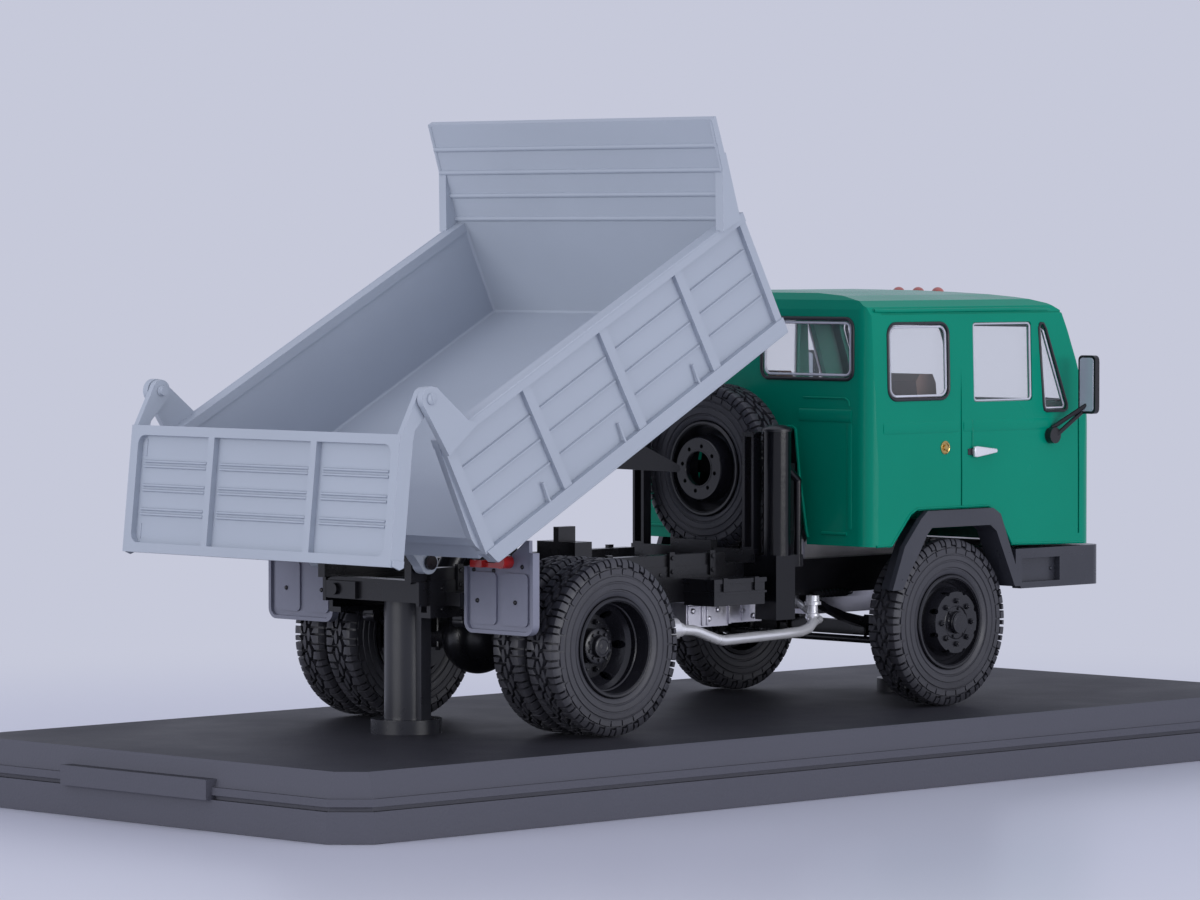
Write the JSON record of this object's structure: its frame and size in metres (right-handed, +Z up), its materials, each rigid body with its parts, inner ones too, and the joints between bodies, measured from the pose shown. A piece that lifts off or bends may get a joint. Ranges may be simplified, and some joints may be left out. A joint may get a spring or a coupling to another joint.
{
  "type": "dump truck display model",
  "caption": "Cab-over dump truck scale model on a display plinth, with a tipping bed, a top-hung tailgate and turning wheels.",
  "frame": {"origin": "centre of the underside of the plinth, on the surface it stands on", "axes": "+X towards the truck's front along the plinth, +Y to the truck's left, +Z up"},
  "size_m": [0.1934, 0.081, 0.0914],
  "materials": {
    "plinth": "moulded, fine grained top",
    "black_metal": "satin black paint",
    "black_plastic": "moulded",
    "bare_metal": "cast, dull silver",
    "tyre": "matt black with ribbed tread",
    "rim": "satin black",
    "cab_paint": "gloss blue-green paint",
    "bed_paint": "pale blue-grey satin paint",
    "glass": "clear",
    "seat": "brown",
    "red_lens": "red lens",
    "orange_lens": "orange-red lens",
    "lamp": "clear lens over a bright reflector",
    "steel": "bright"
  },
  "bodies": {
    "truck_on_plinth": {"plinth": "plinth", "pillar_rear": "black_plastic", "pillar_front": "black_plastic", "chassis_frame": "black_metal", "rear_axle": "black_plastic", "front_axle": "black_plastic", "engine_gearbox": "bare_metal", "propshaft": "black_plastic", "exhaust": "bare_metal", "battery_box": "black_plastic", "fuel_tank": "black_plastic", "intake_column": "black_plastic", "spare_carrier": "black_plastic", "rim_spare": "rim", "tyre_spare": "tyre", "mudflaps": "black_plastic", "tail_lamps": "red_lens", "cab_shell": "cab_paint", "cab_glazing": "glass", "cab_floor": "black_plastic", "seats": "seat", "dashboard": "black_plastic", "wheel_arch_right": "black_plastic", "wheel_arch_left": "black_plastic", "bumper": "black_plastic", "front_grille": "black_plastic", "headlamps": "lamp", "roof_lamps": "orange_lens", "mirrors": "black_plastic"},
    "wheel_front_right": {"rim_front_right": "rim", "tyre_front_right": "tyre"},
    "wheel_front_left": {"rim_front_left": "rim", "tyre_front_left": "tyre"},
    "wheels_rear_right": {"rims_rear_right": "rim", "tyres_rear_right": "tyre"},
    "wheels_rear_left": {"rims_rear_left": "rim", "tyres_rear_left": "tyre"},
    "bed": {"bed_tub": "bed_paint", "bed_underframe": "bed_paint"},
    "gate": {"tailgate": "bed_paint"},
    "ram_barrel": {"ram_cylinder": "black_metal"},
    "ram_piston": {"ram_rod": "steel"},
    "prop": {"bed_prop": "black_metal"}
  },
  "joints": [
    {"name": "front_right_wheel_spin", "type": "hinge", "parent": "truck_on_plinth", "child": "wheel_front_right", "pos_m": [0.0348, -0.0204, 0.02074], "axis": [0, 1, 0], "continuous": true},
    {"name": "front_left_wheel_spin", "type": "hinge", "parent": "truck_on_plinth", "child": "wheel_front_left", "pos_m": [0.0348, 0.0204, 0.02074], "axis": [0, 1, 0], "continuous": true},
    {"name": "rear_right_wheels_spin", "type": "hinge", "parent": "truck_on_plinth", "child": "wheels_rear_right", "pos_m": [-0.0345, -0.0197, 0.02074], "axis": [0, 1, 0], "continuous": true},
    {"name": "rear_left_wheels_spin", "type": "hinge", "parent": "truck_on_plinth", "child": "wheels_rear_left", "pos_m": [-0.0345, 0.0197, 0.02074], "axis": [0, 1, 0], "continuous": true},
    {"name": "bed_tip", "type": "hinge", "parent": "truck_on_plinth", "child": "bed", "pos_m": [-0.055, 0, 0.0323], "axis": [0, -1, 0], "range_deg": [-28.2, 16.8]},
    {"name": "tailgate_swing", "type": "hinge", "parent": "bed", "child": "gate", "pos_m": [-0.06986, 0, 0.05451], "axis": [0, 1, 0], "range_deg": [-34.3, 15.7]},
    {"name": "ram_pivot", "type": "hinge", "parent": "truck_on_plinth", "child": "ram_barrel", "pos_m": [-0.0435, 0, 0.0268], "axis": [0, -1, 0], "range_deg": [-33.6, 20]},
    {"name": "ram_slide", "type": "slide", "parent": "ram_barrel", "child": "ram_piston", "axis": [0.5453, 0, 0.8383], "range_m": [-0.00592, 0.00354]},
    {"name": "prop_fold", "type": "hinge", "parent": "bed", "child": "prop", "pos_m": [-0.02358, 0, 0.05074], "axis": [0, -1, 0], "range_deg": [-16.9, 28.3]}
  ],
  "couplings": [
    {"joint": "ram_pivot", "follows": "bed_tip", "ratio": 1.1862},
    {"joint": "ram_slide", "follows": "bed_tip", "m_per_rad": 0.011997},
    {"joint": "prop_fold", "follows": "bed_tip", "ratio": -1}
  ]
}
